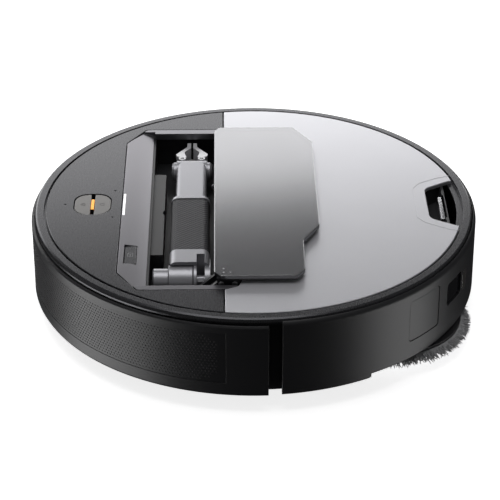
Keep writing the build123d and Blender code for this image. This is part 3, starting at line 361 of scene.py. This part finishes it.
# ---- grip sleeve with its twill weave -------------------------------------------------
def rounded_rectangle(cx, cz, width, height, radius, spacing):
    """Points round a rounded rectangle in XZ with their outward normals, an even distance apart."""
    result = []
    corners = [
        (cx + width / 2 - radius, cz + height / 2 - radius, 0),
        (cx - width / 2 + radius, cz + height / 2 - radius, 90),
        (cx - width / 2 + radius, cz - height / 2 + radius, 180),
        (cx + width / 2 - radius, cz - height / 2 + radius, 270),
    ]
    for i, (x, z, start) in enumerate(corners):
        steps = ceil(radius * pi / 2 / spacing)
        for k in range(steps + 1):
            a = radians(start + 90 * k / steps)
            result.append((x + radius * cos(a), z + radius * sin(a), cos(a), sin(a)))
        nx, nz, follow = corners[(i + 1) % 4]
        a = radians(follow)
        first = Vector((result[-1][0], result[-1][1]))
        last = Vector((nx + radius * cos(a), nz + radius * sin(a)))
        steps = max(1, ceil((last - first).length / spacing))
        for k in range(1, steps):
            here = first.lerp(last, k / steps)
            result.append((here.x, here.y, result[-1][2], result[-1][3]))
    return result


def woven_sleeve():
    """The forearm's grip: a tube whose outside carries a diagonal twill."""
    low, high = low_high("grip_sleeve")
    corner, wall, spacing = 5.7, 1.2, 0.5
    depth = 0.6
    pitch_round, pitch_along = 4.4, 3.3
    size = high - low
    centre_x, centre_z = (low.x + high.x) / 2, (low.z + high.z) / 2
    ring = rounded_rectangle(centre_x, centre_z, size.x, size.z, corner, spacing)
    around = [0.0]
    for a, b in zip(ring, ring[1:]):
        around.append(around[-1] + (Vector(a[:2]) - Vector(b[:2])).length)
    turns = round(around[-1] / pitch_round)
    rows = []
    steps = ceil(size.y / spacing)
    for j in range(steps + 1):
        y = low.y + size.y * j / steps
        fade = min(1, 3 * (y - low.y) / 2, 3 * (high.y - y) / 2)
        row = []
        for (x, z, nx, nz), s in zip(ring, around):
            u = turns * s / around[-1]
            v = (y - low.y) / pitch_along
            rib = 0.5 + 0.5 * sin(tau * (u + v))
            cross = 0.5 + 0.5 * sin(tau * (2 * u - v))
            drop = depth * (1 - fade * (0.65 * rib + 0.35 * cross * rib))
            row.append(Vector((x - nx * drop, y, z - nz * drop)))
        rows.append(row)
    shape = Shape()
    base = shape.grid(rows, wrap=True)
    count = len(ring)
    # the ends turn in to a thin wall
    for y, start, flip in ((low.y, base, True), (high.y, base + steps * count, False)):
        lip = len(shape.points)
        for x, z, nx, nz in ring:
            shape.points.append(Vector((x - nx * wall, y, z - nz * wall)))
        for c in range(count):
            d = (c + 1) % count
            quad = (start + c, lip + c, lip + d, start + d)
            shape.faces.append(quad if flip else tuple(reversed(quad)))
    first_lip = base + (steps + 1) * count
    for c in range(count):
        d = (c + 1) % count
        shape.faces.append((first_lip + c, first_lip + count + c, first_lip + count + d, first_lip + d))
    return shape.make("sleeve_weave", "arm", looks["sleeve_rubber"], 80, ["grip_sleeve"])


woven_sleeve()


# ---- mop pads -------------------------------------------------------------------------
def mop_pad(side):
    """A quilted microfibre disc, crowned between its seams, with a pile of tufts."""
    node = f"mop_pad_{side}"
    low, high = low_high(node)
    cx, cy = (low.x + high.x) / 2, (low.y + high.y) / 2
    radius = (high.x - low.x) / 2
    thick = high.z - low.z
    rings, sides = 40, 180
    circles = 3
    seam_depth, pile_depth = 1.3, 0.55
    fibres = 1500
    shape = Shape()

    def rim(t):
        """Rounded edge of the disc: 0 at its middle plane, 1 at its faces."""
        return 1 - (1 - t) ** 2

    rows = []
    for face in (1, -1):
        order = range(rings + 1) if face == 1 else range(rings, -1, -1)
        for i in order:
            r = radius * i / rings
            edge = min(1, (radius - r) / (thick * 0.6))
            row = []
            for k in range(sides):
                a = tau * k / sides
                x, y = cx + r * cos(a), cy + r * sin(a)
                seam_round = 0.5 + 0.5 * cos(tau * r / (radius / circles))
                seam_out = 0.5 + 0.5 * cos(6 * a)
                seam = max(seam_round ** 10, seam_out ** 24 if r > radius / circles else 0)
                pile = noise.noise(Vector((x, y, face * 40)) * 0.8) * pile_depth
                fat = thick / 2 * rim(edge)
                if face == -1:
                    fat -= seam_depth * seam * min(1, edge * 2)
                    fat += pile * min(1, edge)
                    fat = max(0.3 * rim(edge), min(thick / 2, fat))
                out = 1 + 0.006 * noise.noise(Vector((x, y, 9.0)) * 0.5)
                wide = min(1.0, out) if i == rings else 1.0
                row.append(Vector((cx + (x - cx) * wide, cy + (y - cy) * wide,
                                   low.z + thick / 2 + face * fat)))
            rows.append(row)
    shape.grid(rows, wrap=True)
    pad = shape.make(f"mop_cloth_{side}", f"mop_{side}", looks["mop_fabric"], 60, [node])

    # a dense fringe of short looped fibres round the rim
    fringe = Shape()
    for k in range(fibres):
        a = tau * k / fibres + rng.uniform(-0.004, 0.004)
        level = rng.uniform(0.1, 0.95)
        reach = rng.uniform(1.5, 4.2)
        start = radius - rng.uniform(1.5, 4.0)
        z = low.z + thick * level
        lean = rng.uniform(-0.035, 0.035)
        drop = rng.uniform(-2.2, 0.6) * (1.2 - level * 0.4)
        path = []
        for t in (0.0, 0.4, 0.75, 1.0):
            r = start + (radius + reach - start) * t
            wave = rng.uniform(-0.007, 0.007) if t else 0.0
            path.append(Vector((cx + r * cos(a + lean * t + wave), cy + r * sin(a + lean * t + wave),
                                z + drop * t * t + (0.4 if t == 0.4 else 0))))
        fringe.tube(path, [0.38, 0.42, 0.38, 0.16], sides=4)
    fringe.make(f"mop_fringe_{side}", f"mop_{side}", looks["mop_fabric"], 60)


for side in ("left", "right"):
    mop_pad(side)


# ---- side brush hairs ------------------------------------------------------------------
def brush_hairs():
    """Three fans of fine bent hairs."""
    hub = middle("side_brush_hub")
    low, high = low_high("side_brush_bristles")
    root, tip = 14, 43.4
    fans, hairs = 3, 70
    first_fan = 75
    shape = Shape()
    for arm in range(fans):
        mid = radians(first_fan + 360 / fans * arm)
        for k in range(hairs):
            fan = rng.uniform(-1, 1)
            a0 = mid + fan * 0.11
            a1 = mid + fan * 0.20 - 0.04
            reach = tip - rng.uniform(0, 3.5) - 2.0 * fan * fan
            z0 = high.z - rng.uniform(0.8, 3.0)
            path = []
            radii = []
            for i in range(6):
                t = i / 5
                r = root + (reach - root) * t
                a = a0 + (a1 - a0) * t ** 1.6
                z = z0 + (low.z + 0.4 - z0) * t ** 1.3
                path.append(Vector((hub.x + r * cos(a), hub.y + r * sin(a), z)))
                radii.append(0.28 - 0.16 * t)
            shape.tube(path, radii, sides=4)
    shape.make("side_brush_hairs", "side_brush", looks["bristle"], 60, ["side_brush_bristles"])


brush_hairs()


# ---- tyres with chevron tread -----------------------------------------------------------
def treaded_tyre(side):
    """A tyre with chevron grooves and rounded shoulders."""
    node = f"wheel_tyre_{side}"
    low, high = low_high(node)
    cx, cz = (low.x + high.x) / 2, (low.z + high.z) / 2
    outer = (high.z - low.z) / 2
    width = high.y - low.y
    tyre_wall, groove_depth, shoulder_drop = 6, 1.3, 1.2
    bore = outer - tyre_wall
    lugs = 26
    sides = lugs * 12
    across = [-1, -0.92, -0.8, -0.6, -0.4, -0.2, 0, 0.2, 0.4, 0.6, 0.8, 0.92, 1]
    rows = []
    for k in range(sides):
        a = tau * k / sides
        row = [Vector((cx + bore * cos(a), low.y, cz + bore * sin(a)))]
        for s in across:
            phase = (lugs * k / sides + 0.9 * abs(s)) % 1
            groove = groove_depth if phase < 0.36 and abs(s) > 0.08 else 0.0
            shoulder = shoulder_drop * max(0, (abs(s) - 0.8) / 0.2)
            r = outer - max(groove, shoulder)
            row.append(Vector((cx + r * cos(a), (low.y + high.y) / 2 + s * width / 2, cz + r * sin(a))))
        row.append(Vector((cx + bore * cos(a), high.y, cz + bore * sin(a))))
        rows.append(row)
    shape = Shape()
    shape.grid(rows, wrap=True, loop=True)
    shape.make(f"tyre_tread_{side}", f"wheel_{side}", looks["tyre_rubber"], 35, [node])


for side in ("left", "right"):
    treaded_tyre(side)


# ---- hairs on the rollers ----------------------------------------------------------------
def roller_hairs(name):
    """Four staggered rows of soft tufts between the rubber fins."""
    low, high = low_high(name)
    cx, cz = (low.x + high.x) / 2, (low.z + high.z) / 2
    half = 80.0
    lines, tufts, hairs = 4, 64, 3
    first_line, stagger = 0.39, 0.12
    shape = Shape()
    for start in range(lines):
        for k in range(tufts):
            y = -half + 2 * half * k / (tufts - 1)
            a = tau * start / lines + first_line + (stagger if k % 2 else -stagger)
            for hair in range(hairs):
                lean = a + rng.uniform(-0.05, 0.05)
                along = y + rng.uniform(-0.9, 0.9)
                path = [Vector((cx + r * cos(lean), along, cz + r * sin(lean))) for r in (10.6, 12.2, 13.6)]
                shape.tube(path, [0.22, 0.18, 0.1], sides=3)
    shape.make(f"{name}_hairs", name, looks["bristle"], 60)


for name in ("roller_front", "roller_rear"):
    roller_hairs(name)


# ---- bumper window dots --------------------------------------------------------------------
def window_dots():
    """Rows of small round studs, each row half a step along from the last."""
    low, high = low_high("bumper_window")
    reach = 80.5
    pitch = 2.7
    row_gap = 0.866         # of the pitch, in a hexagonal pattern
    end_radius, end_inset = 19.5, 16
    foot, crown = 0.85, 0.5
    radius = BODY_R - 0.3
    rows = int((high.z - low.z - 4) / (pitch * row_gap))
    step = pitch / radius
    count = int(2 * radians(reach) / step)
    shape = Shape()
    for r in range(rows + 1):
        z = low.z + 2.4 + r * pitch * row_gap
        for k in range(count + 1):
            a = -radians(reach) + (k + (r % 2) / 2) * step
            # the window's ends are round
            past = abs(a) * radius - radians(reach) * radius + end_inset
            if past > 0 and past ** 2 + (z - (low.z + high.z) / 2) ** 2 > end_radius ** 2:
                continue
            out = Vector((cos(a), sin(a), 0))
            side = Vector((-sin(a), cos(a), 0))
            base = len(shape.points)
            for level, size in ((radius - 0.1, foot), (radius + 0.22, crown)):
                for turn in range(6):
                    t = tau * turn / 6
                    rise = Vector((0, 0, z + size * sin(t)))
                    shape.points.append(out * level + side * (size * cos(t)) + rise)
            for turn in range(6):
                d = (turn + 1) % 6
                shape.faces.append((base + turn, base + d, base + 6 + d, base + 6 + turn))
            shape.cap(base + 6, 6)
            shape.cap(base, 6, flip=True)
    shape.make("bumper_window_dots", "bumper", looks["dark_shell"], 20)


window_dots()


# ---- deck details --------------------------------------------------------------------------
def deck_marks():
    """LED bar, generic button and flap signs, and the border round the finger notch."""
    home = middle("home_button")
    power = middle("power_button")
    top = low_high("home_button")[1].z
    led = Shape()
    x = (home.x + power.x) / 2
    led.ribbon(rounded_corners([(x - 0.8, -7.6), (x + 0.8, -7.6), (x + 0.8, 7.6), (x - 0.8, 7.6)], 0.7),
               0.35, DECK_TOP - 0.9, DECK_TOP - 0.15)
    led.ribbon([(x, -7.4), (x, 7.4)], 0.75, DECK_TOP - 0.9, DECK_TOP - 0.2, closed=False)
    led.make("status_led", "chassis", amber, 40)

    house = Shape()
    h = home.x + 0.4
    house.ribbon([(h - 1.6, -1.5), (h - 1.6, 1.5), (h + 0.5, 1.5), (h + 1.9, 0), (h + 0.5, -1.5)], 0.16,
                 top - 0.05, top + 0.06)
    house.make("home_sign", "home_button", dark_mark, 30)
    sign = Shape()
    p = power.x - 0.4
    sign.ribbon(arc_points(p, 0, 1.7, 40, 320, 20), 0.16, top - 0.05, top + 0.06, closed=False)
    sign.ribbon([(p + 0.3, 0), (p + 2.1, 0)], 0.16, top - 0.05, top + 0.06, closed=False)
    sign.make("power_sign", "power_button", dark_mark, 30)

    key_low, key_high = low_high("bezel_button")
    key_x, key_y = (key_low.x + key_high.x) / 2, (key_low.y + key_high.y) / 2
    arrow = Shape()
    arrow.ribbon(rounded_corners([(key_x - 1.8, key_y - 2.6), (key_x + 1.8, key_y - 2.6),
                                  (key_x + 1.8, key_y + 2.6), (key_x - 1.8, key_y + 2.6)], 0.8),
                 0.14, key_high.z - 0.05, key_high.z + 0.05)
    arrow.ribbon([(key_x - 0.6, key_y - 1.2), (key_x + 0.8, key_y), (key_x - 0.6, key_y + 1.2)], 0.14,
                 key_high.z - 0.05, key_high.z + 0.05, closed=False)
    arrow.make("flap_sign", "bezel_button", mark, 30)

    border = Shape()
    outline = [(-158.2, -43), (-150, -40.5), (-133, -31), (-127.5, -22), (-127.5, 25), (-133, 33),
               (-150, 43.5), (-157.6, 46)]
    border.ribbon(outline, 0.45, DECK_TOP - 0.1, DECK_TOP + 0.14, closed=False)
    border.make("notch_border", "chassis", looks["deck_silver"], 30)


deck_marks()


# ---- flap details --------------------------------------------------------------------------
def outline_of(node, level):
    """Ordered outline of the flat faces of a CAD node at a height, in millimetres."""
    work = bmesh.new()
    work.from_mesh(nodes[node].data)
    bmesh.ops.remove_doubles(work, verts=work.verts, dist=1e-6)
    flat = [f for f in work.faces if all(abs(v.co.z / MM - level) < 0.02 for v in f.verts)]
    rim = {}
    for face in flat:
        for edge in face.edges:
            if sum(1 for f in edge.link_faces if f in flat) == 1:
                a, b = edge.verts
                rim.setdefault(a, []).append(b)
                rim.setdefault(b, []).append(a)
    start = min(rim, key=lambda v: (v.co.x, v.co.y))
    path = [start]
    last = None
    here = start
    while True:
        following = [v for v in rim[here] if v is not last]
        last, here = here, following[0]
        if here is start:
            break
        path.append(here)
    points = [(v.co.x / MM, v.co.y / MM) for v in path]
    work.free()
    return points


def flap_details():
    """Seal under the glass, three printed dots and the pin heads of the parallel links."""
    low, high = low_high("flap_glass")
    outline = outline_of("flap_glass", low.z)
    centre = Vector(((low.x + high.x) / 2, (low.y + high.y) / 2))
    inset = 0.9
    drawn_in = []
    for point in outline:
        way = centre - Vector(point)
        step = Vector((inset * (way.x > 0) - inset * (way.x < 0), way.y / way.length * inset))
        drawn_in.append(tuple(Vector(point) + step))
    seal = Shape()
    seal.ribbon(drawn_in, 0.9, low.z - 0.5, low.z + 0.1)
    seal.make("flap_seal", "flap", soft_black, 40)

    dots = Shape()
    for x, y in ((high.x - 7, high.y - 10.5), (high.x - 7, high.y - 5), (high.x - 12, high.y - 5)):
        dots.turned((x, y, high.z - 0.1), (0, 0, 1), [(0, 0.75), (0.12, 0.75), (0.2, 0.55)], 16)
    dots.make("flap_dots", "flap", mark, 40)

    # pin heads of the parallel links
    bracket_low, bracket_high = low_high("flap_bracket")
    mount_low, mount_high = low_high("flap_hinge_mount")
    pin_head = [(0, 2.3), (0.7, 2.3), (1.0, 1.9), (1.05, 0.7)]
    pins = Shape()
    pin_z = mount_high.z - 3.4
    for x in (38.0, 48.0):
        pins.turned((x, mount_high.y - 0.2, pin_z), (0, 1, 0), pin_head, 20)
        pins.turned((x, mount_low.y + 0.2, pin_z), (0, -1, 0), pin_head, 20)
    pins.make("hinge_pin_heads", "chassis", looks["screw_steel"], 40)
    upper = Shape()
    for x in (bracket_high.x - 3.2, bracket_high.x - 13.2):
        z = bracket_low.z + 3.2
        for y, way in ((bracket_high.y - 0.2, 1), (bracket_low.y + 0.2, -1)):
            upper.turned((x, y, z), (0, way, 0), pin_head, 20)
    upper.make("flap_pin_heads", "flap", looks["screw_steel"], 40)


flap_details()


# ---- arm details ----------------------------------------------------------------------------
def arm_details():
    """Jaw ribs and pins, the shoulder's end cap, rings on the wrist's ears and the keeper's hook."""
    ribs, rib_gap, rib_radius = 5, 1.55, 0.42
    jaw_pin_y = -92.5
    shoulder_y, shoulder_z = 86.0, 60.0
    ear_y, ear_z = -81.0, 65.0
    hook_x, hook_y, hook_z = 31.0, -44.0, 70.4
    hook_radius = 1.9
    for name, sign in (("left", 1), ("right", -1)):
        low, high = low_high(f"jaw_{name}")
        inner = low.x if sign == 1 else high.x
        pad = Shape()
        for k in range(ribs):
            y = low.y + 0.8 + k * rib_gap
            x = inner + sign * 0.1
            path = [Vector((x, y, low.z + 1.6)), Vector((x, y, high.z - 1.6))]
            pad.tube(path, rib_radius, sides=8)
        pad.make(f"jaw_ribs_{name}", f"jaw_{name}", soft_black, 60)

    pins = Shape()
    palm = middle("gripper_palm")
    top = low_high("jaw_left")[1].z
    for x in (-8.0, 8.0):
        pins.turned((palm.x + x, jaw_pin_y, top - 0.15), (0, 0, 1), [(0, 1.5), (0.35, 1.5), (0.55, 1.1)], 16)
    pins.make("jaw_pin_heads", "gripper", looks["screw_steel"], 40)

    # the stub's end face: a shallow ring
    low, high = low_high("shoulder_motor")
    drum = Shape()
    cap_profile = [(0, 6.8), (0.35, 6.8), (0.45, 6.4), (0.45, 5.6), (0.2, 5.2)]
    drum.turned((high.x - 0.2, shoulder_y, shoulder_z), (1, 0, 0), cap_profile, 32)
    drum.make("shoulder_cap", "chassis", looks["arm_silver"], 30)
    # ears: a recessed ring on each end
    low, high = low_high("wrist_block")
    ear = Shape()
    for x, way in ((low.x + 0.1, -1), (high.x - 0.1, 1)):
        ear.turned((x, ear_y, ear_z), (way, 0, 0), [(0, 5.0), (0.25, 5.0), (0.35, 4.4), (0.2, 4.0)], 28)
    ear.make("wrist_ear_rings", "arm", looks["arm_silver"], 30)

    # the keeper's hook behind the arm
    hook = Shape()
    path = []
    for i in range(14):
        a = radians(-90 + 200 * i / 13)
        along = hook_y + 0.3 * i / 13
        path.append(Vector((hook_x + hook_radius * cos(a), along, hook_z + hook_radius * sin(a))))
    stem = [Vector((30.0, hook_y, 60.0)), Vector((30.0, hook_y, 66.0))]
    hook.tube(stem + path, 0.7, sides=10)
    hook.make("keeper_hook", "chassis", looks["arm_silver"], 60)


arm_details()


# ---- floor, light and camera --------------------------------------------------------------------
def studio():
    """A pale floor that catches no shadow, and a soft grey surround, in metres."""
    reach = 6.0
    mesh = bpy.data.meshes.new("floor")
    steps = 12
    points = []
    for j in range(steps + 1):
        for i in range(steps + 1):
            points.append((reach * (2 * i / steps - 1), reach * (2 * j / steps - 1), 0))
    faces = []
    for j in range(steps):
        for i in range(steps):
            a = j * (steps + 1) + i
            faces.append((a, a + 1, a + steps + 2, a + steps + 1))
    mesh.from_pydata(points, [], faces)
    floor = bpy.data.objects.new("floor", mesh)
    bpy.context.scene.collection.objects.link(floor)
    pale = surface("pale_floor", (0.93, 0.93, 0.93), 0.9, grain=60, relief=0.05, tint=0.01, edge=0.0,
                   emission_color=(1, 1, 1, 1), emission_strength=0.8)
    mesh.materials.append(pale)
    floor.visible_glossy = False
    floor.visible_diffuse = False
    floor.visible_shadow = False

    world = bpy.data.worlds.new("studio")
    bpy.context.scene.world = world
    world.use_nodes = True
    tree = world.node_tree
    back = tree.nodes["Background"]
    coord = tree.nodes.new("ShaderNodeTexCoord")
    split = tree.nodes.new("ShaderNodeSeparateXYZ")
    ramp = tree.nodes.new("ShaderNodeValToRGB")
    ramp.color_ramp.elements[0].position = 0.46
    ramp.color_ramp.elements[0].color = (0.03, 0.03, 0.03, 1)
    ramp.color_ramp.elements[1].position = 0.75
    ramp.color_ramp.elements[1].color = (0.5, 0.5, 0.51, 1)
    lift = tree.nodes.new("ShaderNodeMapRange")
    lift.inputs["From Min"].default_value = -1
    link(tree, coord.outputs["Generated"], split.inputs["Vector"])
    link(tree, split.outputs["Z"], lift.inputs["Value"])
    link(tree, lift.outputs["Result"], ramp.inputs["Fac"])
    link(tree, ramp.outputs["Color"], back.inputs["Color"])
    back.inputs["Strength"].default_value = 0.25


def softbox(name, place, target, width, height, power):
    """A rectangular light in metres and watts, turned to a target."""
    light = bpy.data.lights.new(name, "AREA")
    light.shape = "RECTANGLE"
    light.size = width
    light.size_y = height
    light.energy = power
    obj = bpy.data.objects.new(name, light)
    obj.location = place
    obj.rotation_euler = (Vector(target) - Vector(place)).to_track_quat("-Z", "Y").to_euler()
    obj.visible_camera = False
    bpy.context.scene.collection.objects.link(obj)


def camera():
    """The left side towards the camera and the front to the left."""
    elevation, yaw = radians(30.09), radians(-0.86)
    distance = 1.615
    target = Vector((1.66, 0, 40)) * MM
    forward = Vector((sin(yaw) * cos(elevation), -cos(yaw) * cos(elevation), -sin(elevation)))
    data = bpy.data.cameras.new("camera")
    data.lens = 145.4
    data.sensor_width = 36
    data.shift_x = -0.003
    data.shift_y = -0.0075
    obj = bpy.data.objects.new("camera", data)
    obj.location = target - forward * distance
    obj.rotation_euler = forward.to_track_quat("-Z", "Y").to_euler()
    bpy.context.scene.collection.objects.link(obj)
    bpy.context.scene.camera = obj
    bpy.context.scene.view_settings.view_transform = "Standard"


studio()
softbox("back_softbox", (0.16, -0.62, 0.23), (0.05, -0.1, 0.23), 1.5, 0.42, 4.3)
softbox("top_softbox", (0.1, 0.0, 1.4), (0, 0, 0.08), 1.0, 1.0, 7)
softbox("left_strip", (0.86, 0.24, -0.36), (0.115, 0.13, 0.05), 0.85, 0.55, 4.6)
softbox("right_strip", (-0.86, 0.28, -0.36), (-0.11, 0.13, 0.05), 0.6, 0.5, 2.3)
camera()
